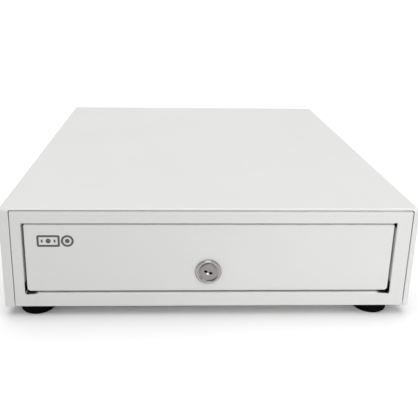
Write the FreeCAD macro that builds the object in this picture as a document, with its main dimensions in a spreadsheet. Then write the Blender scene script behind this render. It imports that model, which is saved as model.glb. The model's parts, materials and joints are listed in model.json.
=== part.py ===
import FreeCAD, Part
import math
import os
import Sketcher
from FreeCAD import Placement, Rotation, Vector

# Flat-front steel cash drawer.  Millimetres, +X right, +Y back, +Z up.  Every sub-part is drawn
# with z = 0 at the underside of the case and is lifted by the height of the feet.
os.makedirs("parts", exist_ok=True)
doc = FreeCAD.newDocument("cash_drawer")
dims = doc.addObject("Spreadsheet::Sheet", "dims")

DRIVING = """
case_w 410|case_d 415|case_h 106.4|steel 1.2|edge_round 4|foot_h 11
flange_left 10.5|flange_right 6.3|lip_top 1.6|mouth_corner 2|seam 0.3|seam_top 0.7
frame_deep 6.5|frame_back 0.3|frame_round 1.3|frame_corner 2|frame_top_round 3.2|mouth_round 1.1
win_w 367.2|win_z0 15.3|win_z1 90.8|win_return 10|notch_long 13|notch_deep 1.9|notch_thin 1
notch_bevel_left 1.6|notch_bevel_right 0.6|wedge_long 3.6|wedge_deep 0.8|relief_low 11|relief_high 6
gap_side 2.3|gap_top 1.2|gap_low 1.8|front_back 0.9|front_deep 12
front_corner 2|front_low_corner 3.6|front_round 1.5
tray_half 172.5|tray_steel 1|tray_rear 150|tray_z 19.6|tray_top 74
slide_x 186|slide_z 42|slide_h 35|slide_sheet 1.2|slide_front 190|slide_rear 160|slide_lip 2.5
race_in 12.1|inner_end 182|outer_end 175.2|ball_r 2|ball_x 179.5|ball_z 14.2|cage_front 55|cage_rear 25
cage_sheet 0.6|cage_hole 2.15|ball_pitch 12|ball_lead 10
bracket_t 1.5|bracket_top 62|bracket_foot 200|bracket_rear 170|tab_x 192.5
rivet_r 2|rivet_fit 0.05|rivet_head_r 4|rivet_head_h 0.6
panel_side 0.1|panel_deep 12|pan_side_h 14|pan_front 200.6|pan_side_rear 195.2
foot_left 175.5|foot_right 171|foot_y 185.8|foot_r 18.2|foot_edge 1.2
foot_bore_r 6|foot_bore_h 5|foot_web_r 2.1
screw_r 2|screw_head_r 4|screw_head_h 1.6|screw_fit 0.1|cross_w 1|cross_l 4.4|cross_h 1.2
cover_hole_z 8|cover_hole_y 150|rear_hole_z 60|rear_hole_in 6
lock_x -1.2|lock_z 38.9|ring_r 13|ring_in_r 10.3|ring_out 2.5|barrel_r 9.5|barrel_rear 188
plug_face_r 8.9|plug_r 6.5|plug_bore_r 6.7|stub_r 4|stub_rear 182
key_long 8.6|key_high 2.4|key_step_half 1.2|key_step_low 3|key_deep 8|key_tilt 20
cam_front 187.8|cam_t 2|cam_long 27.5|cam_half 5|cam_hub_r 8|lock_nut_r 13|lock_nut_t 3.5|cam_nut_r 7
keeper_half 14|keeper_front 190.5|keeper_rear 176|keeper_top 17|keeper_t 1.5
stud_x 140|stud_low 32|stud_high 66|stud_r 2|stud_rear 199|stud_nut_r 4|stud_nut_t 3
latch_y 176|latch_z 52|latch_pin_r 2.5|latch_hub_r 5|latch_hub_half 8|latch_half 3|tail_half 1.5
cheek_in 16.5|cheek_out 18|cheek_front 168|cheek_rear 184|cheek_top 58|latch_base_front 160
strike_half 14|strike_z0 30|strike_z1 44|strike_t 1.5|strike_tab_half 10|strike_tab_rear 168
strike_slot_half 5|strike_slot_y0 155.5|strike_slot_y1 164.5
sol_y 188|sol_x 13|sol_half_y 7|sol_t 2|sol_low 2.7|sol_top 36|coil_r 9.5|bobbin_r 10.4|bobbin_t 1.2
sol_bore_r 4.2|plunger_r 3.3|plunger_low 12|head_low 46|head_top 57|head_r 4.5|fork_half 1.9|link_r 1.2
spring_r 4.3|spring_wire 0.45|spring_turns 5
switch_x 60|switch_half 10|switch_y0 158|switch_y1 164|switch_z0 22|switch_z1 32
socket_x 120|socket_half 7.5|socket_z0 24|socket_z1 38|socket_front 190|socket_flush 0.3
jack_half 6|jack_z0 26|jack_z1 35|jack_deep 12|lead_r 1.4
eject_x -60|eject_z 45|eject_rod_r 3|eject_rod_front 160|eject_head_r 8|eject_spring_r 5.2
eject_wire 0.7|eject_turns 9
till_x 170.5|till_front 178|till_rear 148.2|till_low 20.7|till_top 68|till_wall 2.2|till_floor 2.2
bill_front -22|bill_rear 146|bay_round 4|coin_fit 0.4|coin_top 66|coin_wall 2|coin_floor 4|coin_round 8
axle_y 136|axle_z 60|axle_r 2.5|axle_fit 0.05|clip_half 11|clip_hub_r 5.5|clip_fit 0.1|clip_heel_y 134
clip_heel_top 65|clip_heel_low 57.5|clip_knee_y 42|clip_knee_top 26.6|clip_knee_low 23.3|clip_toe_y 30
clip_toe_low 28.6|clip_toe_top 31.4|clip_spring_r 3.6|clip_wire 0.5|clip_turns 6
"""

row = 1
for entry in DRIVING.replace("\n", "|").split("|"):
    if entry.strip():
        alias, amount = entry.split()
        dims.set("A%d" % row, alias)
        dims.set("B%d" % row, amount)
        dims.setAlias("B%d" % row, alias)
        row += 1
doc.recompute()


def link(text):
    """Names marked with $ become cells of the sheet."""
    return str(text).replace("$", "dims.")


def val(text):
    return float(dims.evalExpression(link(text)))


def side(sign, text):
    """The same distance on the right (+) or the left (-) of the centre line."""
    return "%s(%s)" % ("-" if sign < 0 else "", text)


nodes = []


def keep(obj, label):
    """A finished sub-part, standing on the feet's height."""
    obj.setExpression("Placement.Base.z", link("$foot_h"))
    obj.Label = label
    nodes.append(obj)
    return obj


# ---- drawing helpers -------------------------------------------------------------------------
def body(name):
    return doc.addObject("PartDesign::Body", name + "_body")


def corners(x0, y0, x1, y1):
    return [(x0, y0), (x1, y0), (x1, y1), (x0, y1)]


def sketch(owner, plane, loops, lift="0"):
    """Closed outlines bound to the sheet: a list of corner points, or a centre and radius."""
    sk = owner.newObject("Sketcher::SketchObject", owner.Name + "_outline")
    support = next(f for f in owner.Origin.OriginFeatures if f.Role == plane + "_Plane")
    sk.AttachmentSupport = [(support, "")]
    sk.MapMode = "FlatFace"
    sk.setExpression("AttachmentOffset.Base.z", link(lift))
    for loop in loops:
        first = sk.GeometryCount
        if isinstance(loop, tuple):
            at = Vector(val(loop[0]), val(loop[1]), 0)
            sk.addGeometry(Part.Circle(at, Vector(0, 0, 1), val(loop[2])))
            fix = [("DistanceX", 3, loop[0], at.x), ("DistanceY", 3, loop[1], at.y)]
            for kind, end, text, amount in fix:
                k = sk.addConstraint(Sketcher.Constraint(kind, -1, 1, first, end, amount))
                sk.setExpression("Constraints[%d]" % k, link(text))
            k = sk.addConstraint(Sketcher.Constraint("Radius", first, val(loop[2])))
            sk.setExpression("Constraints[%d]" % k, link(loop[2]))
            continue
        spots = [Vector(val(x), val(y), 0) for x, y in loop]
        count = len(spots)
        for i in range(count):
            sk.addGeometry(Part.LineSegment(spots[i], spots[(i + 1) % count]))
        for i in range(count):
            last = first + (i - 1) % count
            sk.addConstraint(Sketcher.Constraint("Coincident", first + i, 1, last, 2))
            for kind, text, amount in (("DistanceX", loop[i][0], spots[i].x),
                                       ("DistanceY", loop[i][1], spots[i].y)):
                k = sk.addConstraint(Sketcher.Constraint(kind, -1, 1, first + i, 1, amount))
                sk.setExpression("Constraints[%d]" % k, link(text))
    return sk


def pad(owner, sk, length, back=False):
    f = owner.newObject("PartDesign::Pad", owner.Name + "_pad")
    f.Profile = sk
    f.setExpression("Length", link(length))
    f.Reversed = back
    sk.Visibility = False
    doc.recompute()
    return f


def pad_both(owner, sk, length):
    """A pad centred on its sketch plane."""
    f = owner.newObject("PartDesign::Pad", owner.Name + "_pad")
    f.Profile = sk
    f.SideType = "Symmetric"
    f.setExpression("Length", link(length))
    doc.recompute()
    return f


def pocket(owner, sk, length):
    f = owner.newObject("PartDesign::Pocket", owner.Name + "_pocket")
    f.Profile = sk
    f.setExpression("Length", link(length))
    doc.recompute()
    return f


def edges_where(feature, test):
    shape = feature.Shape
    return ["Edge%d" % (i + 1) for i, e in enumerate(shape.Edges) if test([v.Point for v in e.Vertexes])]


def round_edges(owner, base, radius, test):
    f = owner.newObject("PartDesign::Fillet", owner.Name + "_round")
    f.Base = (base, edges_where(base, test))
    f.setExpression("Radius", link(radius))
    doc.recompute()
    return f


def hollow(owner, base, sheet, open_faces):
    """Leaves a sheet-metal skin, open on the named sides."""
    box = base.Shape.BoundBox
    limits = {"-y": (1, box.YMin), "+y": (1, box.YMax), "-z": (2, box.ZMin), "+z": (2, box.ZMax)}
    picks = []
    for i, face in enumerate(base.Shape.Faces):
        for name in open_faces:
            axis, limit = limits[name]
            if abs(face.CenterOfMass[axis] - limit) < 1e-6:
                picks.append("Face%d" % (i + 1))
    f = owner.newObject("PartDesign::Thickness", owner.Name + "_skin")
    f.Base = (base, picks)
    f.setExpression("Value", link(sheet))
    f.Join = 0
    f.Reversed = True
    doc.recompute()
    return f


def box(x0, y0, z0, x1, y1, z1):
    b = doc.addObject("Part::Box", "block")
    for prop, low, high in (("Length", x0, x1), ("Width", y0, y1), ("Height", z0, z1)):
        b.setExpression(prop, link("(%s)-(%s)" % (high, low)))
    for axis, low in zip("xyz", (x0, y0, z0)):
        b.setExpression("Placement.Base." + axis, link(low))
    return b


def rod(axis, x, y, z, radius, length):
    """A round bar that starts at x, y, z and runs along +axis."""
    c = doc.addObject("Part::Cylinder", "bar")
    c.setExpression("Radius", link(radius))
    c.setExpression("Height", link(length))
    c.Placement = Placement(Vector(), Rotation(Vector(0, 0, 1), axis))
    for name, text in zip("xyz", (x, y, z)):
        c.setExpression("Placement.Base." + name, link(text))
    return c


def hexagon(axis, x, y, z, radius, length):
    c = doc.addObject("Part::Prism", "hexagon")
    c.Polygon = 6
    c.setExpression("Circumradius", link(radius))
    c.setExpression("Height", link(length))
    c.Placement = Placement(Vector(), Rotation(Vector(0, 0, 1), axis))
    for name, text in zip("xyz", (x, y, z)):
        c.setExpression("Placement.Base." + name, link(text))
    return c


def join(*pieces):
    f = doc.addObject("Part::MultiFuse", "joined")
    f.Shapes = list(pieces)
    return f


def minus(base, *tools):
    c = doc.addObject("Part::Cut", "cut")
    c.Base = base
    c.Tool = tools[0] if len(tools) == 1 else join(*tools)
    return c


def group(pieces):
    c = doc.addObject("Part::Compound", "group")
    c.Links = list(pieces)
    return c


def coil(x, y, z, axis, radius, wire, length, turns):
    """A wound wire spring that starts at x, y, z and runs along +axis."""
    helix = doc.addObject("Part::Helix", "helix")
    helix.setExpression("Radius", link(radius))
    helix.setExpression("Height", link("(%s)-2*(%s)" % (length, wire)))
    helix.setExpression("Pitch", link("((%s)-2*(%s))/(%s)" % (length, wire, turns)))
    ring = doc.addObject("Part::Circle", "wire_section")
    ring.setExpression("Radius", link(wire))
    ring.Placement = Placement(Vector(), Rotation(Vector(1, 0, 0), 90))
    ring.setExpression("Placement.Base.x", link(radius))
    wound = doc.addObject("Part::Sweep", "wound_wire")
    wound.Sections = [ring]
    wound.Spine = (helix, [])
    wound.Solid = True
    wound.Frenet = True
    turned = Rotation(Vector(0, 0, 1), axis)
    wound.Placement = Placement(Vector(), turned)
    for name, text, unit in zip("xyz", (x, y, z), axis):
        wound.setExpression("Placement.Base." + name, link("(%s)+(%g)*(%s)" % (text, unit, wire)))
    return wound


RIGHT, LEFT = Vector(1, 0, 0), Vector(-1, 0, 0)
BACK, FRONT = Vector(0, 1, 0), Vector(0, -1, 0)
UP, DOWN = Vector(0, 0, 1), Vector(0, 0, -1)


def fastener(x, y, z, axis, shank_r, shank, head_r, head_h, cross=True, tail_h=None):
    """Head outside x, y, z, shank along axis; a rivet also has a formed tail of tail_h."""
    bits = [doc.addObject("Part::Cylinder", "shank"), doc.addObject("Part::Cylinder", "head")]
    bits[0].setExpression("Radius", link(shank_r))
    bits[0].setExpression("Height", link(shank))
    bits[1].setExpression("Radius", link(head_r))
    bits[1].setExpression("Height", link(head_h))
    bits[1].setExpression("Placement.Base.z", link("-(%s)" % head_h))
    if tail_h:
        tail = doc.addObject("Part::Cylinder", "tail")
        tail.setExpression("Radius", link("0.75*(%s)" % head_r))
        tail.setExpression("Height", link(tail_h))
        tail.setExpression("Placement.Base.z", link(shank))
        bits.append(tail)
    made = join(*bits)
    if cross:
        low = "-(%s)-0.1" % head_h
        high = "-(%s)+$cross_h" % head_h
        bars = [box("-$cross_l/2", "-$cross_w/2", low, "$cross_l/2", "$cross_w/2", high),
                box("-$cross_w/2", "-$cross_l/2", low, "$cross_w/2", "$cross_l/2", high)]
        made = minus(made, *bars)
    made.Placement = Placement(Vector(), Rotation(Vector(0, 0, 1), axis))
    for name, text in zip("xyz", (x, y, z)):
        made.setExpression("Placement.Base." + name, link(text))
    return made


HALF_W, HALF_D = "$case_w/2", "$case_d/2"

# ---- case: wrap-over cover -------------------------------------------------------------------
b = body("top_cover")
sk = sketch(b, "XY", [corners("-$case_w/2", "-$case_d/2", "$case_w/2", "$case_d/2")])
block = pad(b, sk, "$case_h")
front_y, top_z = -val(HALF_D), val("$case_h")


def cover_edge(points):
    top = all(abs(p.z - top_z) < 1e-6 for p in points)
    front = all(abs(p.y - front_y) < 1e-6 for p in points)
    rear = all(abs(p.y + front_y) < 1e-6 for p in points)
    low = all(abs(p.z) < 1e-6 for p in points)
    return (top or front) and not rear and not low


soft = round_edges(b, block, "$edge_round", cover_edge)
skin = hollow(b, soft, "$steel", ("+y", "-z"))
mouth = corners("-($case_w/2-$flange_left)", "-1", "$case_w/2-$flange_right", "$case_h-$lip_top")
cut = pocket(b, sketch(b, "XZ", [mouth], "$case_d/2+1"), "5")
mouth_top = val("$case_h-$lip_top")
round_edges(b, cut, "$mouth_corner", lambda points: abs(points[0].y - points[-1].y) > 0.5
            and all(abs(p.z - mouth_top) < 1e-6 and p.y < 0 for p in points))
holes = [("-$cover_hole_y", "$cover_hole_z", "$screw_r+$screw_fit"),
         ("$cover_hole_y", "$cover_hole_z", "$screw_r+$screw_fit"),
         ("$case_d/2-$rear_hole_in", "$rear_hole_z", "$screw_r+$screw_fit")]
pocket(b, sketch(b, "YZ", holes, "$case_w/2+1"), "$case_w+2")
keep(b, "top_cover")

# ---- case: base pan with upturned sides ------------------------------------------------------
b = body("base_pan")
PAN_X = "$case_w/2-$steel-$panel_side"
sk = sketch(b, "XY", [corners("-(%s)" % PAN_X, "-$pan_front", PAN_X, "$case_d/2-0.2")])
pad(b, sk, "$steel")
rims = [corners(side(s, PAN_X), "-$pan_front", side(s, PAN_X + "-$steel"), "$pan_side_rear")
        for s in (1, -1)]
pad(b, sketch(b, "XY", rims), "$pan_side_h")
FOOT_SPOTS = [(x, side(sy, "$foot_y")) for x in ("$foot_right", "-$foot_left") for sy in (1, -1)]
feet = [(x, y, "$screw_r+$screw_fit") for x, y in FOOT_SPOTS]
pocket(b, sketch(b, "XY", feet, "$steel+1"), "$steel+2")
side_holes = holes[:2]
pocket(b, sketch(b, "YZ", side_holes, "$case_w/2+1"), "$case_w+2")
keep(b, "base_pan")

# ---- case: rear panel, a shallow pan that closes the cover -----------------------------------
b = body("rear_panel")
rear = corners("-(%s)" % PAN_X, "$steel+0.1", PAN_X, "$case_h-$steel-0.1")
block = pad(b, sketch(b, "XZ", [rear], "-($case_d/2-0.2)"), "$panel_deep")
half_way = val("$case_h/2")
soft = round_edges(b, block, "$edge_round-$steel",
                   lambda points: abs(points[0].y - points[1].y) > 1 and points[0].z > half_way)
skin = hollow(b, soft, "$steel", ("-y",))
jack = corners("$socket_x-$socket_half-0.1", "$socket_z0-0.1", "$socket_x+$socket_half+0.1", "$socket_z1+0.1")
pocket(b, sketch(b, "XZ", [jack, ("$eject_x", "$eject_z", "$eject_rod_r+$screw_fit")],
                 "-($case_d/2-0.2-$steel-1)"), "$steel+2")
pocket(b, sketch(b, "YZ", [holes[2]], "$case_w/2+1"), "$case_w+2")
keep(b, "rear_panel")

# ---- case: front frame round the drawer opening ----------------------------------------------
b = body("front_frame")
FACE = "$case_d/2-$frame_back"
outer = corners("-($case_w/2-$flange_left-$seam)", "0", "$case_w/2-$flange_right-$seam",
                "$case_h-$lip_top-$seam_top")
block = pad(b, sketch(b, "XZ", [outer], FACE), "$frame_deep", back=True)
limits = block.Shape.BoundBox
crown_z = limits.ZMax - val("$frame_top_round") - 1e-6


def frame_crown(points):
    return all(abs(p.y - limits.YMin) < 1e-6 and abs(p.z - limits.ZMax) < 1e-6 for p in points)


def frame_foot(points):
    return abs(points[0].y - points[1].y) > 1 and points[0].z < limits.ZMin + 1e-6


def frame_rim(points):
    front = all(abs(p.y - limits.YMin) < 1e-6 for p in points)
    crown = all(p.z > crown_z for p in points)
    flank = abs(points[0].x - points[-1].x) < 1e-6
    rear = all(abs(p.y - limits.YMax) < 1e-6 for p in points)
    return (front and not crown) or (crown and flank and not rear)


soft = round_edges(b, block, "$frame_top_round", frame_crown)
soft = round_edges(b, soft, "$frame_corner", frame_foot)
soft = round_edges(b, soft, "$frame_round", frame_rim)
hollow(b, soft, "$steel", ("+y",))
window = corners("-$win_w/2", "$win_z0", "$win_w/2", "$win_z1")
collar = corners("-($win_w/2+$steel)", "$win_z0-$steel", "$win_w/2+$steel", "$win_z1+$steel")
pocket(b, sketch(b, "XZ", [window], FACE + "+1"), "$steel+2")
folded = pad(b, sketch(b, "XZ", [collar, window], FACE + "-$steel/2"), "$win_return", back=True)
end, low, high = "$win_w/2", "$win_z0", "$win_z1"
win_end, win_low, win_high = val(end), val(low), val(high)


def mouth_edge(points):
    inside = all(abs(p.x) < win_end + 0.01 and win_low - 0.01 < p.z < win_high + 0.01 for p in points)
    return inside and all(abs(p.y - limits.YMin) < 1e-6 for p in points)


round_edges(b, folded, "$mouth_round", mouth_edge)
reliefs, cut_backs = [], []
for s, bevel in ((1, "$notch_bevel_right"), (-1, "$notch_bevel_left")):
    tail = end + "-$notch_long"
    reliefs.append([(side(s, tail), low + "+0.2"), (side(s, end), low + "+0.2"),
                    (side(s, end), low + "-$notch_deep+" + bevel),
                    (side(s, end + "-" + bevel), low + "-$notch_deep"),
                    (side(s, tail), low + "-$notch_thin")])
    cut_backs.append(corners(side(s, end + "-0.2"), low + "-$steel-1", side(s, end + "+$steel+0.5"),
                             low + "+$relief_low"))
reliefs.append(corners(end + "-$wedge_long", high + "-0.2", end, high + "+$wedge_deep"))
cut_backs.append(corners(end + "-0.2", high + "-$relief_high", end + "+$steel+0.5", high + "+$steel+1"))
pocket(b, sketch(b, "XZ", reliefs, FACE + "+1"), "$win_return+3")
pocket(b, sketch(b, "XZ", cut_backs, FACE + "-$steel"), "$win_return+3")
keep(b, "front_frame")

# ---- drawer runners: bracket, outer channel, cage with balls, inner channel ------------------
RIVET_HOLE = "$rivet_r+$rivet_fit"
OUTER_SPOTS = ("-$slide_front+20", "-5", "$slide_rear-14")
INNER_SPOTS = ("-$slide_front+30", "10", "$tray_rear-16")
for s, hand in ((-1, "left"), (1, "right")):
    b = body("slide_bracket_" + hand)
    plate, back = "$slide_x", "$slide_x+$bracket_t"
    angle = [(side(s, plate), "$steel"), (side(s, "$bracket_foot"), "$steel"),
             (side(s, "$bracket_foot"), "$steel+$bracket_t"), (side(s, back), "$steel+$bracket_t"),
             (side(s, back), "$bracket_top"), (side(s, plate), "$bracket_top")]
    pad(b, sketch(b, "XZ", [angle], "$case_d/2-20.5"), "$case_d/2-20.5+$bracket_rear", back=True)
    nose = corners(side(s, plate), "-($case_d/2-$frame_back-$steel)", side(s, back), "-($case_d/2-21)")
    tab = corners(side(s, plate), "-($case_d/2-$frame_back-$steel)", side(s, "$tab_x"),
                  "-($case_d/2-$frame_back-2*$steel)")
    pad(b, sketch(b, "XY", [nose], "$win_z0+3"), "$bracket_top-$win_z0-3")
    pad(b, sketch(b, "XY", [tab], "$win_z0+3"), "$bracket_top-$win_z0-3")
    spots = [(y, "$slide_z", RIVET_HOLE) for y in OUTER_SPOTS]
    reach = "%s$bracket_foot%s" % ("-" if s < 0 else "", "+20" if s < 0 else "+0")
    pocket(b, sketch(b, "YZ", spots, reach), "20")
    keep(b, "slide_bracket_" + hand)

    b = body("slide_outer_" + hand)
    top, low = "$slide_z+$slide_h/2", "$slide_z-$slide_h/2"
    web, tip = "$slide_x-$slide_sheet", "$outer_end"
    within, floor_z, roof_z = tip + "+$slide_sheet", low + "+$slide_sheet", top + "-$slide_sheet"
    c = [("$slide_x", low), ("$slide_x", top), (tip, top), (tip, roof_z + "-$slide_lip"),
         (within, roof_z + "-$slide_lip"), (within, roof_z), (web, roof_z), (web, floor_z), (within, floor_z),
         (within, floor_z + "+$slide_lip"), (tip, floor_z + "+$slide_lip"), (tip, low)]
    pad(b, sketch(b, "XZ", [[(side(s, x), z) for x, z in c]], "$slide_front"), "$slide_front+$slide_rear+8",
        back=True)
    reach = "-$slide_x+5" if s < 0 else "$slide_x+5"
    pocket(b, sketch(b, "YZ", spots, reach), "10")
    keep(b, "slide_outer_" + hand)

    b = body("slide_inner_" + hand)
    top, low = "$slide_z+$race_in", "$slide_z-$race_in"
    web, tip = "$tray_half+0.1", "$inner_end"
    c = [(web, low), (tip, low), (tip, low + "+$slide_sheet"), (web + "+$slide_sheet", low + "+$slide_sheet"),
         (web + "+$slide_sheet", top + "-$slide_sheet"), (tip, top + "-$slide_sheet"), (tip, top), (web, top)]
    pad(b, sketch(b, "XZ", [[(side(s, x), z) for x, z in c]], "$slide_front"), "$slide_front+$tray_rear",
        back=True)
    spots_in = [(y, "$slide_z", RIVET_HOLE) for y in INNER_SPOTS]
    reach = "-$tray_half+3" if s < 0 else "$tray_half+3"
    pocket(b, sketch(b, "YZ", spots_in, reach), "6")
    keep(b, "slide_inner_" + hand)

    b = body("ball_cage_" + hand)
    top, low = "$slide_z+$ball_z+$cage_sheet/2", "$slide_z-$ball_z-$cage_sheet/2"
    web, tip = "$inner_end+1.2", "$outer_end+$slide_sheet+0.8"
    thick = web + "+$cage_sheet"
    c = [(thick, low), (thick, top), (tip, top), (tip, top + "-$cage_sheet"), (web, top + "-$cage_sheet"),
         (web, low + "+$cage_sheet"), (tip, low + "+$cage_sheet"), (tip, low)]
    pad(b, sketch(b, "XZ", [[(side(s, x), z) for x, z in c]], "$cage_front"), "$cage_front+$cage_rear",
        back=True)
    ball_ys = ["-$cage_front+$ball_lead+%d*$ball_pitch" % i for i in range(6)]
    seats = [(side(s, "$ball_x"), y, "$cage_hole") for y in ball_ys]
    pocket(b, sketch(b, "XY", seats, "$slide_z+$ball_z+5"), "2*$ball_z+10")
    keep(b, "ball_cage_" + hand)

    balls = []
    for y in ball_ys:
        for up in (1, -1):
            ball = doc.addObject("Part::Sphere", "ball")
            ball.setExpression("Radius", link("$ball_r"))
            ball.setExpression("Placement.Base.x", link(side(s, "$ball_x")))
            ball.setExpression("Placement.Base.y", link(y))
            ball.setExpression("Placement.Base.z", link("$slide_z+(%d)*$ball_z" % up))
            balls.append(ball)
    keep(group(balls), "slide_balls_" + hand)

rivets, inner_rivets, stops = [], [], []
for s, out in ((-1, LEFT), (1, RIGHT)):
    for y in OUTER_SPOTS:
        rivets.append(fastener(side(s, "$slide_x-$slide_sheet"), y, "$slide_z", out, "$rivet_r",
                               "$slide_sheet+$bracket_t", "$rivet_head_r", "$rivet_head_h", False, "0.8"))
    for y in INNER_SPOTS:
        inner_rivets.append(fastener(side(s, "$tray_half+0.1+$slide_sheet"), y, "$slide_z", -out, "$rivet_r",
                                     "$slide_sheet+$tray_steel+0.1", "$rivet_head_r", "$rivet_head_h",
                                     False, "0.3"))
    stops.append(box(side(s, "$slide_x-$slide_sheet-7") if s > 0 else side(s, "$slide_x-$slide_sheet"),
                     "$slide_rear-6", "$slide_z-9",
                     side(s, "$slide_x-$slide_sheet") if s > 0 else side(s, "$slide_x-$slide_sheet-7"),
                     "$slide_rear+6", "$slide_z+9"))
keep(group(rivets), "outer_rivets")
keep(group(inner_rivets), "inner_rivets")
keep(group(stops), "slide_stops")

# ---- feet and case screws --------------------------------------------------------------------
for x, hand in (("-$foot_left", "left"), ("$foot_right", "right")):
    for sy, end in ((-1, "front"), (1, "rear")):
        b = body("foot_%s_%s" % (end, hand))
        y = side(sy, "$foot_y")
        disc = pad(b, sketch(b, "XY", [(x, y, "$foot_r")], "0"), "$foot_h", back=True)
        ground = -val("$foot_h")
        soft = round_edges(b, disc, "$foot_edge",
                           lambda points: all(abs(p.z - ground) < 1e-6 for p in points))
        pocket(b, sketch(b, "XY", [(x, y, "$foot_web_r")], "1"), "$foot_h+2")
        pocket(b, sketch(b, "XY", [(x, y, "$foot_bore_r")], "-$foot_h+$foot_bore_h"), "$foot_bore_h+1")
        keep(b, "foot_%s_%s" % (end, hand))
foot_screws = [fastener(x, y, "-$foot_h+$foot_bore_h", UP, "$screw_r", "$foot_h-$foot_bore_h+$steel+4",
                        "$screw_head_r", "$screw_head_h") for x, y in FOOT_SPOTS]
keep(group(foot_screws), "foot_screws")
cover_screws = []
for s, inward in ((-1, RIGHT), (1, LEFT)):
    for y, z, _ in holes:
        cover_screws.append(fastener(side(s, HALF_W), y, z, inward, "$screw_r", "2*$steel+3", "$screw_head_r",
                                     "$screw_head_h"))
keep(group(cover_screws), "cover_screws")

# ---- drawer: front panel, tray, nuts on the panel's studs ------------------------------------
b = body("drawer_front")
DFACE = "$case_d/2-$front_back"
face = corners("-($win_w/2-$gap_side)", "$win_z0+$gap_low", "$win_w/2-$gap_side", "$win_z1-$gap_top")
block = pad(b, sketch(b, "XZ", [face], DFACE), "$front_deep", back=True)
limits = block.Shape.BoundBox
for radius, level in (("$front_corner", limits.ZMax), ("$front_low_corner", limits.ZMin)):
    block = round_edges(b, block, radius, lambda points: abs(points[0].y - points[1].y) > 1
                        and all(abs(p.z - level) < 1e-6 for p in points))
soft = round_edges(b, block, "$front_round",
                   lambda points: all(abs(p.y - limits.YMin) < 1e-6 for p in points))
hollow(b, soft, "$steel", ("+y",))
STUDS = [(side(s, "$stud_x"), z) for s in (1, -1) for z in ("$stud_low", "$stud_high")]
pocket(b, sketch(b, "XZ", [("$lock_x", "$lock_z", "$barrel_r+0.1")], DFACE + "+1"), "$steel+2")
pad(b, sketch(b, "XZ", [(x, z, "$stud_r") for x, z in STUDS], DFACE + "-$steel/2"),
    DFACE + "-$steel/2-$stud_rear", back=True)
keep(b, "drawer_front")

b = body("drawer_tray")
TRAY_FRONT = "-($case_d/2-$front_back-$steel)"
sk = sketch(b, "XY", [corners("-$tray_half", TRAY_FRONT, "$tray_half", "$tray_rear")], "$tray_z")
block = pad(b, sk, "$tray_top-$tray_z")
hollow(b, block, "$tray_steel", ("+z",))
front_holes = [(x, z, "$stud_r+0.1") for x, z in STUDS] + [("$lock_x", "$lock_z", "$barrel_r+0.1")]
pocket(b, sketch(b, "XZ", front_holes, "$case_d/2+1"), "$steel+$tray_steel+3")
cam_slot = corners("$lock_x-7", "-188.5", "$lock_x+21", "-182.5")
pocket(b, sketch(b, "XY", [cam_slot], "$tray_z+$tray_steel+1"), "4")
pocket(b, sketch(b, "YZ", spots_in, "$tray_half+1"), "2*$tray_half+2")
STRIKE = [(side(s, "$strike_half-4"), "$strike_z0+5") for s in (1, -1)]
pocket(b, sketch(b, "XZ", [(x, z, RIVET_HOLE) for x, z in STRIKE], "-$tray_rear+3"), "6")
keep(b, "drawer_tray")

stud_nuts = [minus(hexagon(BACK, x, TRAY_FRONT + "+$tray_steel", z, "$stud_nut_r", "$stud_nut_t"),
                   rod(BACK, x, TRAY_FRONT, z, "$stud_r+0.05", "10")) for x, z in STUDS]
keep(group(stud_nuts), "front_nuts")

b = body("strike_plate")
ell = [("$tray_rear", "$strike_z0"), ("$tray_rear+$strike_t", "$strike_z0"),
       ("$tray_rear+$strike_t", "$strike_z1"), ("$strike_tab_rear", "$strike_z1"),
       ("$strike_tab_rear", "$strike_z1+$strike_t"), ("$tray_rear", "$strike_z1+$strike_t")]
pad_both(b, sketch(b, "YZ", [ell]), "2*$strike_half")
trims = [corners(side(s, "$strike_tab_half"), "$tray_rear+$strike_t", side(s, "$strike_half+1"),
                 "$strike_tab_rear+1") for s in (1, -1)]
slot = corners("-$strike_slot_half", "$strike_slot_y0", "$strike_slot_half", "$strike_slot_y1")
pocket(b, sketch(b, "XY", trims + [slot], "$strike_z1+$strike_t+1"), "$strike_t+2")
pocket(b, sketch(b, "XZ", [(x, z, RIVET_HOLE) for x, z in STRIKE], "-$tray_rear+3"), "6")
keep(b, "strike_plate")
keep(group([fastener(x, "$tray_rear+$strike_t", z, FRONT, "$rivet_r", "$strike_t+$tray_steel",
                     "$rivet_head_r", "1", False, "0.5") for x, z in STRIKE]), "strike_rivets")

# ---- drawer: till insert with four note bays, coin cups --------------------------------------
b = body("till_tray")
sk = sketch(b, "XY", [corners("-$till_x", "-$till_front", "$till_x", "$till_rear")], "$till_low")
block = pad(b, sk, "$till_top-$till_low")
soft = round_edges(b, block, "$bay_round", lambda points: abs(points[0].z - points[1].z) > 1)
BAY = "((2*$till_x-5*$till_wall)/4)"
bays = []
for i in range(4):
    x0 = "-$till_x+$till_wall+%d*(%s+$till_wall)" % (i, BAY)
    bays.append(corners(x0, "$bill_front", x0 + "+" + BAY, "$bill_rear"))
well = corners("-$till_x+$till_wall", "-$till_front+$till_wall",
               "$till_x-$till_wall", "$bill_front-$till_wall")
cut = pocket(b, sketch(b, "XY", bays + [well], "$till_top"), "$till_top-$till_low-$till_floor")
pocket(b, sketch(b, "YZ", [("$axle_y", "$axle_z", "$axle_r+$axle_fit")], "$till_x-1"), "2*$till_x-2")
keep(b, "till_tray")

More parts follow.
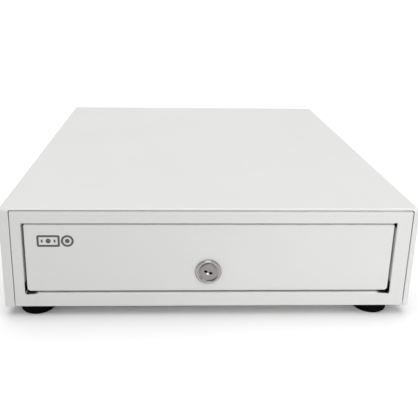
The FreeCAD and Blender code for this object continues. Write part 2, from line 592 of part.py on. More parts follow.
b = body("coin_tray")
CX = "$till_x-$till_wall-$coin_fit"
CY0, CY1 = "-$till_front+$till_wall+$coin_fit", "$bill_front-$till_wall-$coin_fit"
sk = sketch(b, "XY", [corners("-(%s)" % CX, CY0, CX, CY1)], "$till_low+$till_floor")
block = pad(b, sk, "$coin_top-$till_low-$till_floor")
CUP_X = "((2*(%s)-5*$coin_wall)/4)" % CX
CUP_Y = "(((%s)-(%s)-3*$coin_wall)/2)" % (CY1, CY0)
cups = []
for i in range(4):
    for j in range(2):
        x0 = "-(%s)+$coin_wall+%d*(%s+$coin_wall)" % (CX, i, CUP_X)
        y0 = "%s+$coin_wall+%d*(%s+$coin_wall)" % (CY0, j, CUP_Y)
        cups.append(corners(x0, y0, x0 + "+" + CUP_X, y0 + "+" + CUP_Y))
cut = pocket(b, sketch(b, "XY", cups, "$coin_top"), "$coin_top-$till_low-$till_floor-$coin_floor")
cup_z = val("$till_low+$till_floor+$coin_floor")
soft = round_edges(b, cut, "$coin_round", lambda points: all(abs(p.z - cup_z) < 1e-6 for p in points))
keep(b, "coin_tray")

# ---- drawer: note clips on one axle ----------------------------------------------------------
keep(group([rod(RIGHT, "-$till_x+1.2", "$axle_y", "$axle_z", "$axle_r", "2*$till_x-2.4")]), "clip_axle")
BAY_X = ["-$till_x+$till_wall+%s/2+%d*(%s+$till_wall)" % (BAY, i, BAY) for i in range(4)]
for number, x in enumerate(BAY_X, 1):
    b = body("bill_clip_%d" % number)
    arm = [("$clip_heel_y", "$clip_heel_top"), ("$clip_knee_y", "$clip_knee_top"),
           ("$clip_toe_y", "$clip_toe_top"), ("$clip_toe_y", "$clip_toe_low"),
           ("$clip_knee_y", "$clip_knee_low"), ("$clip_heel_y", "$clip_heel_low")]
    start = x + "-$clip_half"
    pad(b, sketch(b, "YZ", [arm], start), "2*$clip_half")
    pad(b, sketch(b, "YZ", [("$axle_y", "$axle_z", "$clip_hub_r")], start), "2*$clip_half")
    pocket(b, sketch(b, "YZ", [("$axle_y", "$axle_z", "$axle_r+$clip_fit")], x + "+$clip_half+1"),
           "2*$clip_half+2")
    keep(b, "bill_clip_%d" % number)
keep(group([coil(x + "+$clip_half+1", "$axle_y", "$axle_z", RIGHT, "$clip_spring_r", "$clip_wire", "9",
                 "$clip_turns") for x in BAY_X]), "clip_springs")

# ---- cam lock in the drawer front ------------------------------------------------------------
b = body("lock_housing")
ring_y, seat_y = "-($case_d/2-$front_back+$ring_out)", "-($case_d/2-$front_back)"
shell = [("$ring_in_r", ring_y + "+0.5"), ("$ring_in_r+0.5", ring_y), ("$ring_r-0.9", ring_y),
         ("$ring_r", ring_y + "+0.9"), ("$ring_r", seat_y), ("$barrel_r", seat_y),
         ("$barrel_r", "-$barrel_rear"), ("$plug_bore_r", "-$barrel_rear"),
         ("$plug_bore_r", ring_y + "+1.9"), ("$ring_in_r", ring_y + "+1.9")]
sk = sketch(b, "XY", [shell])
f = b.newObject("PartDesign::Revolution", "lock_housing_turned")
f.Profile = sk
f.ReferenceAxis = (sk, ["V_Axis"])
f.Angle = 360
doc.recompute()
b.setExpression("Placement.Base.x", link("$lock_x"))
keep(b, "lock_housing")
b.setExpression("Placement.Base.z", link("$foot_h+$lock_z"))

b = body("lock_plug")
plug = [("0", ring_y + "+0.6"), ("$plug_face_r-0.4", ring_y + "+0.6"), ("$plug_face_r", ring_y + "+1"),
        ("$plug_face_r", ring_y + "+1.8"), ("$plug_r", ring_y + "+1.8"), ("$plug_r", "-$barrel_rear"),
        ("$stub_r", "-$barrel_rear"), ("$stub_r", "-$stub_rear"), ("0", "-$stub_rear")]
sk = sketch(b, "XY", [plug])
f = b.newObject("PartDesign::Revolution", "lock_plug_turned")
f.Profile = sk
f.ReferenceAxis = (sk, ["V_Axis"])
f.Angle = 360
doc.recompute()
slot_end, slot_top, step, step_z = "$key_long/2", "$key_high/2", "$key_step_half", "-$key_step_low"
slot = [("-" + slot_end, "-" + slot_top), ("-" + step, "-" + slot_top), ("-" + step, step_z), (step, step_z),
        (step, "-" + slot_top), (slot_end, "-" + slot_top), (slot_end, slot_top), ("-" + slot_end, slot_top)]
pocket(b, sketch(b, "XZ", [slot], "$case_d/2+5"), "$key_deep+5")
b.Placement = Placement(Vector(), Rotation(BACK, val("$key_tilt")))
b.setExpression("Placement.Base.x", link("$lock_x"))
keep(b, "lock_plug")
b.setExpression("Placement.Base.z", link("$foot_h+$lock_z"))

cam = minus(join(rod(BACK, "$lock_x", "-$cam_front", "$lock_z", "$cam_hub_r", "$cam_t"),
                 box("$lock_x", "-$cam_front", "$lock_z-$cam_half", "$lock_x+$cam_long",
                     "-$cam_front+$cam_t", "$lock_z+$cam_half")),
            rod(BACK, "$lock_x", "-$cam_front-1", "$lock_z", "$stub_r+0.05", "$cam_t+2"))
keep(cam, "lock_cam")
cam_nut = minus(hexagon(BACK, "$lock_x", "-$cam_front+$cam_t", "$lock_z", "$cam_nut_r", "3"),
                rod(BACK, "$lock_x", "-$cam_front", "$lock_z", "$stub_r+0.05", "8"))
keep(cam_nut, "cam_nut")
lock_nut = minus(hexagon(BACK, "$lock_x", TRAY_FRONT + "+$tray_steel", "$lock_z", "$lock_nut_r",
                         "$lock_nut_t"),
                 rod(BACK, "$lock_x", TRAY_FRONT, "$lock_z", "$barrel_r+0.05", "8"))
keep(lock_nut, "lock_nut")
keeper = join(box("-$keeper_half", "-$keeper_front", "$steel", "$keeper_half", "-$keeper_rear",
                  "$steel+$keeper_t"),
              box("-$keeper_half", "-$keeper_front", "$steel", "$keeper_half", "-$keeper_front+$keeper_t",
                  "$keeper_top"))
keep(keeper, "lock_keeper")

# ---- release latch and solenoid behind the drawer --------------------------------------------
b = body("latch_bracket")
base_y0, base_y1 = "$latch_base_front", "$pan_side_rear"
pad(b, sketch(b, "XY", [corners("-$cheek_out", base_y0, "$cheek_out", base_y1)], "$steel"), "1.5")
pad(b, sketch(b, "XY", [corners(side(s, "$cheek_in"), "$cheek_front", side(s, "$cheek_out"), "$cheek_rear")
                        for s in (1, -1)], "$steel"), "$cheek_top-$steel")
pocket(b, sketch(b, "YZ", [("$latch_y", "$latch_z", "$latch_pin_r+0.05")], "$cheek_out+1"),
       "2*$cheek_out+2")
keep(b, "latch_bracket")
latch_pin = join(rod(RIGHT, "-$cheek_out-1", "$latch_y", "$latch_z", "$latch_pin_r", "2*$cheek_out+2"),
                 rod(RIGHT, "-$cheek_out-2.5", "$latch_y", "$latch_z", "$latch_pin_r+1.2", "1.5"),
                 rod(RIGHT, "$cheek_out+1", "$latch_y", "$latch_z", "$latch_pin_r+1.2", "1.5"))
keep(latch_pin, "latch_pin")

b = body("latch_lever")
hook = [("$latch_y", "$latch_z+4"), ("$latch_y-19", "$latch_z+4"), ("$latch_y-19", "$latch_z-5.5"),
        ("$latch_y-15.5", "$latch_z-5.5"), ("$latch_y-14.5", "$latch_z-2"), ("$latch_y", "$latch_z-2")]
pad_both(b, sketch(b, "YZ", [hook]), "2*$latch_half")
tail = corners("$latch_y", "$latch_z-2.6", "$latch_y+16.5", "$latch_z+2.6")
pad_both(b, sketch(b, "YZ", [tail]), "2*$tail_half")
pad_both(b, sketch(b, "YZ", [("$latch_y", "$latch_z", "$latch_hub_r")]), "2*$latch_hub_half")
pocket(b, sketch(b, "YZ", [("$latch_y", "$latch_z", "$latch_pin_r+0.1"),
                           corners("$sol_y-2.2", "$latch_z-1.5", "$sol_y+2.2", "$latch_z+1.5")], "10"), "20")
keep(b, "latch_lever")

frame = minus(box("-$sol_x", "$sol_y-$sol_half_y", "$sol_low", "$sol_x", "$sol_y+$sol_half_y", "$sol_top"),
              box("-$sol_x+$sol_t", "$sol_y-$sol_half_y-1", "$sol_low+$sol_t", "$sol_x-$sol_t",
                  "$sol_y+$sol_half_y+1", "$sol_top-$sol_t"),
              rod(UP, "0", "$sol_y", "$sol_top-$sol_t-1", "$plunger_r+0.3", "10"))
keep(frame, "solenoid_frame")
BOB0, BOB1 = "$sol_low+$sol_t", "$sol_top-$sol_t"
bobbin = minus(join(rod(UP, "0", "$sol_y", BOB0, "$bobbin_r", "$bobbin_t"),
                    rod(UP, "0", "$sol_y", "%s-$bobbin_t" % BOB1, "$bobbin_r", "$bobbin_t"),
                    rod(UP, "0", "$sol_y", BOB0, "$sol_bore_r+1", "%s-(%s)" % (BOB1, BOB0))),
               rod(UP, "0", "$sol_y", BOB0 + "-1", "$sol_bore_r", "40"))
keep(bobbin, "solenoid_bobbin")
winding = minus(rod(UP, "0", "$sol_y", BOB0 + "+$bobbin_t", "$coil_r", "%s-(%s)-2*$bobbin_t" % (BOB1, BOB0)),
                rod(UP, "0", "$sol_y", BOB0, "$sol_bore_r+1", "40"))
keep(winding, "solenoid_coil")
plunger = join(minus(join(rod(UP, "0", "$sol_y", "$plunger_low", "$plunger_r", "$head_low-$plunger_low+1"),
                          rod(UP, "0", "$sol_y", "$head_low", "$head_r", "$head_top-$head_low")),
                     box("-$fork_half", "$sol_y-6", "$latch_z-4.2", "$fork_half", "$sol_y+6", "$head_top+1")),
               rod(RIGHT, "-$head_r+0.6", "$sol_y", "$latch_z", "$link_r", "2*$head_r-1.2"))
keep(plunger, "solenoid_plunger")
keep(group([coil("0", "$sol_y", "$sol_top", UP, "$spring_r", "$spring_wire", "$head_low-$sol_top",
                 "$spring_turns")]), "plunger_spring")

# ---- drawer-open switch, ejector, cable socket with its internal lead ------------------------
switch_bracket = join(box("$switch_x-$switch_half", "$switch_y1", "$steel", "$switch_x+$switch_half",
                          "$switch_y1+1.2", "$switch_z1"),
                      box("$switch_x-$switch_half", "$switch_y1", "$steel", "$switch_x+$switch_half",
                          "$switch_y1+12", "$steel+1.2"))
keep(switch_bracket, "switch_bracket")
terminals = [box("$switch_x" + x, "$switch_y0+1", "$switch_z0-4", "$switch_x+0.6" + x, "$switch_y0+4",
                 "$switch_z0+1") for x in ("-8", "+0", "+7")]
switch = join(box("$switch_x-$switch_half", "$switch_y0", "$switch_z0", "$switch_x+$switch_half",
                  "$switch_y1", "$switch_z1"), *terminals)
keep(switch, "microswitch")
b = body("switch_leaf")
leaf = [("$switch_x-9", "$switch_y0"), ("$switch_x-8.6", "$switch_y0"),
        ("$switch_x-8.6", "$switch_y0-1.2"), ("$switch_x+12", "$switch_y0-5.4"),
        ("$switch_x+14", "$switch_y0-5"), ("$switch_x+14", "$switch_y0-5.4"),
        ("$switch_x+12", "$switch_y0-5.9"), ("$switch_x-9", "$switch_y0-1.6")]
pad(b, sketch(b, "XY", [leaf], "$switch_z0+3"), "4")
keep(b, "switch_leaf")
eject = join(rod(BACK, "$eject_x", "$eject_rod_front", "$eject_z", "$eject_rod_r",
                 "$case_d/2+0.8-$eject_rod_front"),
             rod(BACK, "$eject_x", "$case_d/2-0.2-$steel-3", "$eject_z", "$eject_head_r", "3"),
             rod(BACK, "$eject_x", "$case_d/2-0.2", "$eject_z", "$eject_head_r-3", "1"))
keep(eject, "ejector_rod")
keep(group([coil("$eject_x", "$tray_rear+0.3", "$eject_z", BACK, "$eject_spring_r", "$eject_wire",
                 "$case_d/2-0.2-$steel-3-$tray_rear-0.5", "$eject_turns")]), "ejector_spring")
SOCKET_REAR = "$case_d/2+$socket_flush"
socket = join(minus(box("$socket_x-$socket_half", "$socket_front", "$socket_z0", "$socket_x+$socket_half",
                        SOCKET_REAR, "$socket_z1"),
                    box("$socket_x-$jack_half", SOCKET_REAR + "-$jack_deep", "$jack_z0",
                        "$socket_x+$jack_half", SOCKET_REAR + "+1", "$jack_z1"),
                    box("$socket_x-2.2", SOCKET_REAR + "-$jack_deep", "$jack_z1-0.1", "$socket_x+2.2",
                        SOCKET_REAR + "+1", "$jack_z1+1.6")),
              box("$socket_x-$socket_half-1.5", "$case_d/2-0.2-$steel-1.2", "$socket_z0-1.5",
                  "$socket_x+$socket_half+1.5", "$case_d/2-0.2-$steel", "$socket_z0+1"))
keep(socket, "cable_socket")


def bent_lead(points, bend, radius):
    """A round lead along straight runs joined by arcs."""
    runs, spot = [], points[0]
    for i in range(1, len(points) - 1):
        into = (points[i] - points[i - 1]).normalize()
        away = (points[i + 1] - points[i]).normalize()
        half = into.getAngle(away) / 2
        cut_back = bend * math.tan(half)
        first, last = points[i] - into * cut_back, points[i] + away * cut_back
        centre = points[i] + (away - into).normalize() * (bend / math.cos(half))
        middle = centre + (points[i] - centre).normalize() * bend
        runs += [Part.LineSegment(spot, first).toShape(), Part.Arc(first, middle, last).toShape()]
        spot = last
    runs.append(Part.LineSegment(spot, points[-1]).toShape())
    spine = Part.Wire(runs)
    ring = Part.Wire([Part.Circle(points[0], (points[1] - points[0]).normalize(), radius).toShape()])
    return spine.makePipeShell([ring], True, True)


lead_path = [Vector(val(x), val(y), val(z)) for x, y, z in (
    ("$socket_x", "$socket_front", "31"), ("$socket_x", "$socket_front-8", "31"),
    ("$socket_x", "$socket_front-8", "8"), ("$sol_x+16", "$socket_front-8", "8"),
    ("$sol_x+16", "$socket_front-2", "8"), ("$sol_x+16", "$socket_front-2", "20"),
    ("$sol_x+0.3", "$socket_front-2", "20"))]
lead = doc.addObject("Part::Feature", "lead")
lead.Shape = bent_lead(lead_path, 2.9, val("$lead_r"))
keep(group([lead]), "solenoid_lead")

# ---- checks and export -----------------------------------------------------------------------
doc.recompute()
faults = [o.Name for o in doc.Objects if "Invalid" in o.State or "Error" in o.State]
if faults:
    raise RuntimeError("objects in error: %s" % faults)
for obj in nodes:
    if obj.Shape.isNull() or not obj.Shape.isValid() or not obj.Shape.Solids:
        raise RuntimeError("no valid solid in " + obj.Label)
    print(obj.Label, len(obj.Shape.Solids), round(obj.Shape.Volume, 1))
for obj in nodes:
    obj.Shape.exportStep("parts/%s.step" % obj.Label)
print(len(nodes), "nodes")
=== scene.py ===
import json
import math
import bmesh
import bpy
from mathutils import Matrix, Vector


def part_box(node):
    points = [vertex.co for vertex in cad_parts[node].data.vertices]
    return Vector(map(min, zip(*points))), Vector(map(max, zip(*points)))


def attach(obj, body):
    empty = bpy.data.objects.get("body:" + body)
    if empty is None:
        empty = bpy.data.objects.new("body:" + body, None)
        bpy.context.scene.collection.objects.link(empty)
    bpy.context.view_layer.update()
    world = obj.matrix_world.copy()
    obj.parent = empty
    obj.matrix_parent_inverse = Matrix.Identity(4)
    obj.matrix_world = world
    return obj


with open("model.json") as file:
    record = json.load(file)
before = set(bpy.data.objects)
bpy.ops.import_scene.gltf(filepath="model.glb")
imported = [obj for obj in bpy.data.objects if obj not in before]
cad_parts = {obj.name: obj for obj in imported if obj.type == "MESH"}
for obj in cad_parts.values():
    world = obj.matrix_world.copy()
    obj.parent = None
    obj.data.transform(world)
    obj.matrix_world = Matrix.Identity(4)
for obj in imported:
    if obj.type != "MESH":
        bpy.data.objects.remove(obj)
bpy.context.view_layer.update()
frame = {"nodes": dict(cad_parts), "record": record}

# All lengths are in metres. X runs to the right, Y to the back and Z up, as in the frame.
nodes = frame["nodes"]
scene = bpy.context.scene


# ---- node helpers ----------------------------------------------------------------------------
class Mat:
    """A Principled material with short-hand for the nodes it needs."""

    def __init__(self, name):
        self.mat = bpy.data.materials.new(name)
        self.mat.use_nodes = True
        self.nt = self.mat.node_tree
        self.nt.nodes.clear()
        output = self.nt.nodes.new("ShaderNodeOutputMaterial")
        self.bsdf = self.nt.nodes.new("ShaderNodeBsdfPrincipled")
        self.link(self.bsdf.outputs["BSDF"], output.inputs["Surface"])
        self.coord = self.nt.nodes.new("ShaderNodeTexCoord")

    def link(self, a, b):
        self.nt.links.new(a, b)

    def space(self, scale=(1, 1, 1)):
        """Object coordinates, stretched by a scale along each axis."""
        n = self.nt.nodes.new("ShaderNodeMapping")
        n.inputs["Scale"].default_value = scale
        self.link(self.coord.outputs["Object"], n.inputs["Vector"])
        return n.outputs["Vector"]

    def noise(self, vector, scale, detail=3.0, rough=0.5):
        n = self.nt.nodes.new("ShaderNodeTexNoise")
        n.inputs["Scale"].default_value = scale
        n.inputs["Detail"].default_value = detail
        n.inputs["Roughness"].default_value = rough
        self.link(vector, n.inputs["Vector"])
        return n.outputs["Fac"]

    def cells(self, vector, scale, output="Distance"):
        n = self.nt.nodes.new("ShaderNodeTexVoronoi")
        n.inputs["Scale"].default_value = scale
        self.link(vector, n.inputs["Vector"])
        return n.outputs[output]

    def ramp(self, fac, stops):
        """A colour ramp through (position, colour) stops; a bare number is a grey."""
        n = self.nt.nodes.new("ShaderNodeValToRGB")
        for element, (position, color) in zip(n.color_ramp.elements, stops):
            element.position = position
            element.color = (*color, 1) if isinstance(color, tuple) else (color, color, color, 1)
        self.link(fac, n.inputs["Fac"])
        return n.outputs["Color"]

    def spread(self, fac, low, high):
        """A 0 to 1 value stretched to low to high."""
        n = self.nt.nodes.new("ShaderNodeMapRange")
        n.inputs["To Min"].default_value = low
        n.inputs["To Max"].default_value = high
        self.link(fac, n.inputs["Value"])
        return n.outputs["Result"]

    def add(self, a, b, weight):
        """a + weight * b."""
        n = self.nt.nodes.new("ShaderNodeMath")
        n.operation = "MULTIPLY_ADD"
        self.link(b, n.inputs[0])
        n.inputs[1].default_value = weight
        self.link(a, n.inputs[2])
        return n.outputs[0]

    def color(self, socket):
        self.link(socket, self.bsdf.inputs["Base Color"])

    def rough(self, socket):
        self.link(socket, self.bsdf.inputs["Roughness"])

    def bump(self, height, strength, distance):
        n = self.nt.nodes.new("ShaderNodeBump")
        n.inputs["Strength"].default_value = strength
        n.inputs["Distance"].default_value = distance
        self.link(height, n.inputs["Height"])
        self.link(n.outputs["Normal"], self.bsdf.inputs["Normal"])

    def fixed(self, **values):
        """Constants on the shader's own sockets, named with _ for each space."""
        for name, amount in values.items():
            self.bsdf.inputs[name.replace("_", " ")].default_value = amount


def tinted(color, factor):
    return tuple(min(1.0, factor * c) for c in color)


def paint(name, color):
    """Very light powder coat: fine orange peel, faint cloudiness, specks of coarser grain."""
    m = Mat(name)
    vec = m.space()
    cloud = m.noise(vec, scale=9.0, detail=4.0, rough=0.55)
    m.color(m.ramp(cloud, [(0.3, tinted(color, 0.985)), (0.7, tinted(color, 1.012))]))
    peel = m.noise(vec, scale=620.0, detail=2.0)
    grain = m.noise(vec, scale=2400.0, detail=2.0, rough=0.6)
    m.rough(m.spread(m.noise(vec, scale=60.0), low=0.48, high=0.58))
    m.bump(m.add(peel, grain, weight=0.35), strength=0.22, distance=0.00012)
    m.fixed(Specular_IOR_Level=0.3)
    return m.mat


def zinc(name, tone, spangle):
    """Zinc plate: soft crystalline patches and fine rolling lines along the sheet."""
    m = Mat(name)
    vec = m.space()
    patch = m.cells(vec, spangle, output="Color")
    rolled = m.noise(m.space((1400.0, 14.0, 1400.0)), scale=1.0, detail=2.0)
    cloud = m.noise(vec, scale=14.0)
    mixed = m.add(m.add(m.spread(cloud, low=0.0, high=0.5), patch, weight=0.28), rolled, weight=0.22)
    dull = tinted((0.86, 0.88, 0.91), tone)
    clean = tinted((1.06, 1.07, 1.08), tone)
    m.color(m.ramp(mixed, [(0.2, dull), (0.8, clean)]))
    m.rough(m.spread(mixed, low=0.3, high=0.5))
    m.bump(rolled, strength=0.12, distance=0.00006)
    m.fixed(Metallic=1.0)
    return m.mat


def bright(name, color, low, high, scale=300.0):
    """Plated or ground metal with fine handling marks, its roughness between low and high."""
    m = Mat(name)
    marks = m.noise(m.space((1.0, 1.0, 6.0)), scale, detail=4.0, rough=0.6)
    cloud = m.noise(m.space(), scale=45.0, detail=2.0)
    mixed = m.add(m.spread(cloud, low=0.0, high=0.5), marks, weight=0.5)
    m.color(m.ramp(mixed, [(0.2, tinted(color, 0.93)), (0.8, tinted(color, 1.04))]))
    m.rough(m.spread(marks, low, high))
    m.bump(marks, strength=0.06, distance=0.00003)
    m.fixed(Metallic=1.0)
    return m.mat


def moulded(name, color, low=0.42, high=0.6, grain_scale=1500.0, strength=0.35, distance=0.00012,
            shine=0.5):
    """Moulded plastic or rubber with a spark-eroded texture, its roughness between low and high."""
    m = Mat(name)
    vec = m.space()
    grain = m.cells(vec, grain_scale)
    fine = m.noise(vec, scale=1.7 * grain_scale, detail=2.0)
    cloud = m.noise(vec, scale=25.0)
    m.color(m.ramp(cloud, [(0.3, tinted(color, 0.85)), (0.7, tinted(color, 1.2))]))
    m.rough(m.spread(fine, low, high))
    m.bump(m.add(grain, fine, weight=0.5), strength, distance)
    m.fixed(Specular_IOR_Level=shine)
    return m.mat


def winding(name):
    """Layers of enamelled copper wire seen from the side, with painted shade darkening the grooves between
    turns.
    """
    m = Mat(name)
    wave = m.nt.nodes.new("ShaderNodeTexWave")
    wave.wave_type = "BANDS"
    wave.bands_direction = "Z"
    wave.inputs["Scale"].default_value = 520.0
    wave.inputs["Distortion"].default_value = 0.6
    m.link(m.space(), wave.inputs["Vector"])
    turns = wave.outputs["Fac"]
    # Colour runs from dark brown between turns to copper on them: painted shade in the grooves between the
    # wires.
    m.color(m.ramp(turns, [(0.1, (0.16, 0.045, 0.015)), (0.7, (0.62, 0.24, 0.09))]))
    m.rough(m.spread(turns, low=0.5, high=0.28))
    m.bump(turns, strength=0.6, distance=0.0001)
    m.fixed(Metallic=0.7)
    return m.mat


def ink(name):
    """Dark grey screen print, a little uneven in density."""
    m = Mat(name)
    vec = m.space()
    dots = m.noise(vec, scale=2600.0, detail=2.0)
    cloud = m.noise(vec, scale=120.0, detail=2.0)
    mixed = m.add(m.spread(dots, low=0.0, high=0.5), cloud, weight=0.5)
    m.color(m.ramp(mixed, [(0.25, (0.055, 0.055, 0.058)), (0.8, (0.11, 0.11, 0.113))]))
    m.rough(m.spread(dots, low=0.45, high=0.6))
    m.bump(dots, strength=0.1, distance=0.00003)
    return m.mat


# ---- finishes --------------------------------------------------------------------------------
WHITE = paint("powder_coat_white", (0.62, 0.62124, 0.61256))
FRONT_WHITE = paint("powder_coat_front", (0.62, 0.62, 0.6138))
ZINC = zinc("zinc_plate", tone=0.72, spangle=90.0)
ZINC_PART = zinc("zinc_plate_small", tone=0.66, spangle=260.0)
BRIGHT = bright("bright_steel", (0.74, 0.74, 0.75), low=0.18, high=0.34)
SPRING = bright("spring_wire", (0.5, 0.5, 0.52), low=0.24, high=0.4, scale=900.0)
CAGE = bright("cage_strip", (0.62, 0.61, 0.58), low=0.3, high=0.45)
CHROME = bright("lock_chrome", (0.38, 0.375, 0.37), low=0.14, high=0.24, scale=500.0)
PLUG = bright("lock_plug_face", (0.29, 0.272, 0.26), low=0.26, high=0.4, scale=700.0)
POLISH = bright("polished_shutter", (0.95, 0.95, 0.94), low=0.05, high=0.1, scale=900.0)
RUBBER = moulded("foot_rubber", (0.0022, 0.0022, 0.0024), low=0.75, high=0.9, grain_scale=900.0,
                 strength=0.5, distance=0.0002, shine=0.04)
ABS = moulded("black_abs", (0.02, 0.02, 0.021))
SHEATH = moulded("lead_sheath", (0.022, 0.022, 0.022), low=0.35, high=0.5, grain_scale=2500.0,
                 strength=0.2, distance=0.00005)
COPPER = winding("copper_winding")
GOLD = bright("gold_contact", (0.86, 0.62, 0.25), low=0.2, high=0.32, scale=900.0)
INK = ink("print_ink")

BY_SLOT = {
    "white_paint": WHITE,
    "zinc_steel": ZINC_PART,
    "bright_steel": BRIGHT,
    "spring_steel": SPRING,
    "cage_steel": CAGE,
    "rubber": RUBBER,
    "black_plastic": ABS,
    "cord_sheath": SHEATH,
    "copper_winding": COPPER,
    "lock_chrome": CHROME,
}
# Nodes whose finish differs from the one their slot gives.
BY_NODE = {
    "drawer_front": FRONT_WHITE,
    "lock_plug": PLUG,
    "drawer_tray": ZINC,
    "slide_outer_left": ZINC,
    "slide_outer_right": ZINC,
    "slide_inner_left": ZINC,
    "slide_inner_right": ZINC,
}
for part in frame["record"]["subparts"]:
    finish = BY_NODE.get(part["node"], BY_SLOT[part["material_slot"]])
    for slot in nodes[part["node"]].material_slots:
        slot.material = finish


# ---- modelling helpers -----------------------------------------------------------------------
def piece(name, verts, faces, material, body, slot):
    """A visible piece that moves with a body and takes the finish it is given; the slot is not used."""
    mesh = bpy.data.meshes.new(name)
    mesh.from_pydata(verts, [], faces)
    bm = bmesh.new()
    bm.from_mesh(mesh)
    bmesh.ops.recalc_face_normals(bm, faces=bm.faces)
    bm.to_mesh(mesh)
    bm.free()
    obj = bpy.data.objects.new(name, mesh)
    scene.collection.objects.link(obj)
    obj.data.materials.append(material)
    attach(obj, body)


def prism(outline, front, back):
    """A closed prism from an X-Z outline between two Y values."""
    n = len(outline)
    verts = [(x, y, z) for y in (front, back) for x, z in outline]
    faces = [list(range(n)), list(range(2 * n - 1, n - 1, -1))]
    faces += [[i, (i + 1) % n, n + (i + 1) % n, n + i] for i in range(n)]
    return verts, faces


def band(outer, inner, front, back):
    """A closed frame between two X-Z outlines with the same number of points."""
    n = len(outer)
    verts = [(x, y, z) for line in (outer, inner) for y in (front, back) for x, z in line]
    faces = []
    for a, b in ((0, 1), (1, 3), (3, 2), (2, 0)):
        for i in range(n):
            j = (i + 1) % n
            faces.append([a * n + i, a * n + j, b * n + j, b * n + i])
    return verts, faces


def circle(cx, cz, radius, count=48):
    angles = [2 * math.pi * i / count for i in range(count)]
    return [(cx + radius * math.cos(a), cz + radius * math.sin(a)) for a in angles]


def rounded(x0, z0, x1, z1, radius, count=6):
    """A rectangle from x0, z0 to x1, z1 with round corners, count steps to each."""
    points = []
    for cx, cz, start in ((x1 - radius, z1 - radius, 0), (x0 + radius, z1 - radius, 90),
                          (x0 + radius, z0 + radius, 180), (x1 - radius, z0 + radius, 270)):
        for i in range(count + 1):
            a = math.radians(start + 90 * i / count)
            points.append((cx + radius * math.cos(a), cz + radius * math.sin(a)))
    return points


# ---- printed pictogram on the drawer front: a banknote and a coin ----------------------------
PRINT_PROUD = 0.00012
PRINT_SUNK = 0.0001
NOTE_LEFT = -0.1690
NOTE_LOW = 0.0771
NOTE_LONG = 0.0224
NOTE_HIGH = 0.0124
NOTE_LINE = 0.0021
NOTE_ROUND = 0.0018
NOTE_INNER_ROUND = 0.0005
NOTE_DOT_R = 0.0025
MARK_OUT = 0.0062
MARK_HALF_LONG = 0.0009
MARK_HALF_HIGH = 0.0016
MARK_ROUND = 0.0004
COIN_OUT = 0.0297
COIN_R = 0.0062
COIN_INNER_R = 0.0041
COIN_DOT_R = 0.0023

panel_low = Vector(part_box("drawer_front")[0])
print_front = panel_low.y - PRINT_PROUD
print_back = panel_low.y + PRINT_SUNK
note_x = NOTE_LEFT + NOTE_LONG / 2
note_z = NOTE_LOW + NOTE_HIGH / 2
coin_x = NOTE_LEFT + COIN_OUT


def printed(name, shape):
    piece(name, *shape, INK, "drawer", "black_plastic")


note_outer = rounded(NOTE_LEFT, NOTE_LOW, NOTE_LEFT + NOTE_LONG, NOTE_LOW + NOTE_HIGH, NOTE_ROUND)
note_inner = rounded(NOTE_LEFT + NOTE_LINE, NOTE_LOW + NOTE_LINE, NOTE_LEFT + NOTE_LONG - NOTE_LINE,
                     NOTE_LOW + NOTE_HIGH - NOTE_LINE, NOTE_INNER_ROUND)
printed("print_note_edge", band(note_outer, note_inner, print_front, print_back))
printed("print_note_centre", prism(circle(note_x, note_z, NOTE_DOT_R), print_front, print_back))
for number, mark_x in enumerate((note_x - MARK_OUT, note_x + MARK_OUT), 1):
    mark = rounded(mark_x - MARK_HALF_LONG, note_z - MARK_HALF_HIGH, mark_x + MARK_HALF_LONG,
                   note_z + MARK_HALF_HIGH, MARK_ROUND, count=3)
    printed("print_note_mark_%d" % number, prism(mark, print_front, print_back))
coin_outer = circle(coin_x, note_z, COIN_R)
coin_inner = circle(coin_x, note_z, COIN_INNER_R)
printed("print_coin_edge", band(coin_outer, coin_inner, print_front, print_back))
printed("print_coin_centre", prism(circle(coin_x, note_z, COIN_DOT_R), print_front, print_back))

# ---- keyway: ward between the two halves of the slot, polished shutter below it --------------
SLOT_TILT = math.radians(20.0)
WARD_HALF = 0.0010
WARD_LOW = -0.0008
WARD_TOP = 0.00115
WARD_ROUND = 0.0003
WARD_FRONT = 0.0005
WARD_BACK = 0.0078
SHUTTER_HALF = 0.0011
SHUTTER_LOW = -0.0029
SHUTTER_TOP = -0.0009
SHUTTER_ROUND = 0.0005
SHUTTER_FRONT = 0.0003
SHUTTER_BACK = 0.0040

plug_low, plug_high = [Vector(corner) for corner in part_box("lock_plug")]
plug_x = (plug_low.x + plug_high.x) / 2
plug_z = (plug_low.z + plug_high.z) / 2
face_y = plug_low.y


def in_slot(outline):
    """An outline drawn square to the key slot, turned with the slot and moved to the plug's axis."""
    cos, sin = math.cos(SLOT_TILT), math.sin(SLOT_TILT)
    return [(plug_x + x * cos + z * sin, plug_z - x * sin + z * cos) for x, z in outline]


ward = in_slot(rounded(-WARD_HALF, WARD_LOW, WARD_HALF, WARD_TOP, WARD_ROUND, count=3))
ward_shape = prism(ward, face_y + WARD_FRONT, face_y + WARD_BACK)
piece("keyway_ward", *ward_shape, PLUG, "lock", "lock_chrome")
shutter = in_slot(rounded(-SHUTTER_HALF, SHUTTER_LOW, SHUTTER_HALF, SHUTTER_TOP, SHUTTER_ROUND, count=3))
shutter_shape = prism(shutter, face_y + SHUTTER_FRONT, face_y + SHUTTER_BACK)
piece("keyway_shutter", *shutter_shape, POLISH, "lock", "lock_chrome")

# ---- spring contacts in the cable socket -----------------------------------------------------
CONTACTS = 6
CONTACT_PITCH = 0.00102
CONTACT_HALF = 0.0002
CONTACT_THICK = 0.00035
CONTACT_Z = 0.0372
CONTACT_DEEP = 0.0110
CONTACT_MOUTH = 0.0028
CONTACT_END = 0.002

socket_low, socket_high = [Vector(corner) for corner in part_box("cable_socket")]
socket_x = (socket_low.x + socket_high.x) / 2
inner_y = socket_high.y - CONTACT_DEEP
mouth_y = socket_high.y - CONTACT_MOUTH
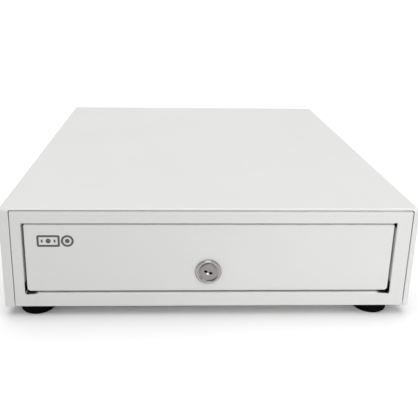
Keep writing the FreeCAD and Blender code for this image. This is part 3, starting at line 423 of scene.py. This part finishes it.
# The wire's lower line, as Y and height above CONTACT_Z: it slopes down to the mouth and ends nearly flat.
wire = [(inner_y, 0.0052), (inner_y + CONTACT_END, 0.0040),
        (mouth_y - CONTACT_END, 0.0004), (mouth_y, 0.0001)]


def contact(x):
    """A square wire bent along the slope, at x."""
    verts = []
    for y, rise in wire:
        z = CONTACT_Z + rise
        verts += [(x - CONTACT_HALF, y, z), (x + CONTACT_HALF, y, z)]
        verts += [(x + CONTACT_HALF, y, z + CONTACT_THICK), (x - CONTACT_HALF, y, z + CONTACT_THICK)]
    faces = [[0, 1, 2, 3]]
    for a in range(0, 4 * len(wire) - 4, 4):
        faces += [[a + j, a + (j + 1) % 4, a + 4 + (j + 1) % 4, a + 4 + j] for j in range(4)]
    last = 4 * len(wire) - 1
    faces.append([last, last - 1, last - 2, last - 3])
    return verts, faces


for i in range(CONTACTS):
    x = socket_x + (i - (CONTACTS - 1) / 2) * CONTACT_PITCH
    piece("socket_contact_%d" % (i + 1), *contact(x), GOLD, "case", "copper_winding")

# ---- floor -----------------------------------------------------------------------------------
FLOOR_HALF = 40.0
floor_corners = [(FLOOR_HALF * x, FLOOR_HALF * y, 0.0) for x, y in ((-1, -1), (1, -1), (1, 1), (-1, 1))]
floor_mesh = bpy.data.meshes.new("floor")
floor_mesh.from_pydata(floor_corners, [], [[0, 1, 2, 3]])
floor = bpy.data.objects.new("floor", floor_mesh)
scene.collection.objects.link(floor)
pale = Mat("floor_pale")
pale.color(pale.ramp(pale.noise(pale.space(), scale=3.0, detail=2.0), [(0.3, 0.86), (0.7, 0.88)]))
pale.fixed(Roughness=0.9)
floor.data.materials.append(pale.mat)

# ---- camera ----------------------------------------------------------------------------------
LENS_MM = 44.242
SHIFT = (0.0574, -0.2249)
EYE = (-0.0394, -0.6628, 0.3271)
TURN_DEG = (75.666, -0.732, -1.439)

cam_data = bpy.data.cameras.new("camera")
cam_data.lens = LENS_MM
cam_data.shift_x, cam_data.shift_y = SHIFT
cam_data.clip_start = 0.01
cam_data.clip_end = 200.0
cam = bpy.data.objects.new("camera", cam_data)
scene.collection.objects.link(cam)
cam.location = EYE
cam.rotation_euler = [math.radians(angle) for angle in TURN_DEG]
scene.camera = cam

# ---- light: even surroundings, a wide soft light overhead, a weak softbox at the right -------
AROUND = 0.677
OVERHEAD = 0.574 * math.pi
OVERHEAD_ANGLE = math.radians(70.0)
BOX_SPOT = (0.5, -1.2, 0.3)
BOX_TARGET = (0.25, -0.2, 0.06)
BOX_WIDE = 0.6
BOX_HIGH = 0.5
BOX_WATTS = 0.324
BOX_SPREAD = math.radians(40.0)

world = bpy.data.worlds.new("studio")
scene.world = world
world.use_nodes = True
background = world.node_tree.nodes["Background"]
background.inputs["Color"].default_value = (1.0, 1.0, 1.0, 1.0)
background.inputs["Strength"].default_value = AROUND


def hang(light, spot, target):
    """Puts a light at a spot, facing a target."""
    obj = bpy.data.objects.new(light.name, light)
    scene.collection.objects.link(obj)
    obj.location = spot
    obj.rotation_mode = "QUATERNION"
    obj.rotation_quaternion = (Vector(target) - Vector(spot)).to_track_quat("-Z", "Y")


overhead = bpy.data.lights.new("overhead", "SUN")
overhead.energy = OVERHEAD
overhead.angle = OVERHEAD_ANGLE
hang(overhead, (0.0, 0.0, 1.0), (0.0, 0.0, 0.0))

softbox = bpy.data.lights.new("right", "AREA")
softbox.shape = "RECTANGLE"
softbox.size = BOX_WIDE
softbox.size_y = BOX_HIGH
softbox.energy = BOX_WATTS
softbox.spread = BOX_SPREAD
hang(softbox, BOX_SPOT, BOX_TARGET)

scene.view_settings.view_transform = "Standard"
scene.view_settings.look = "None"
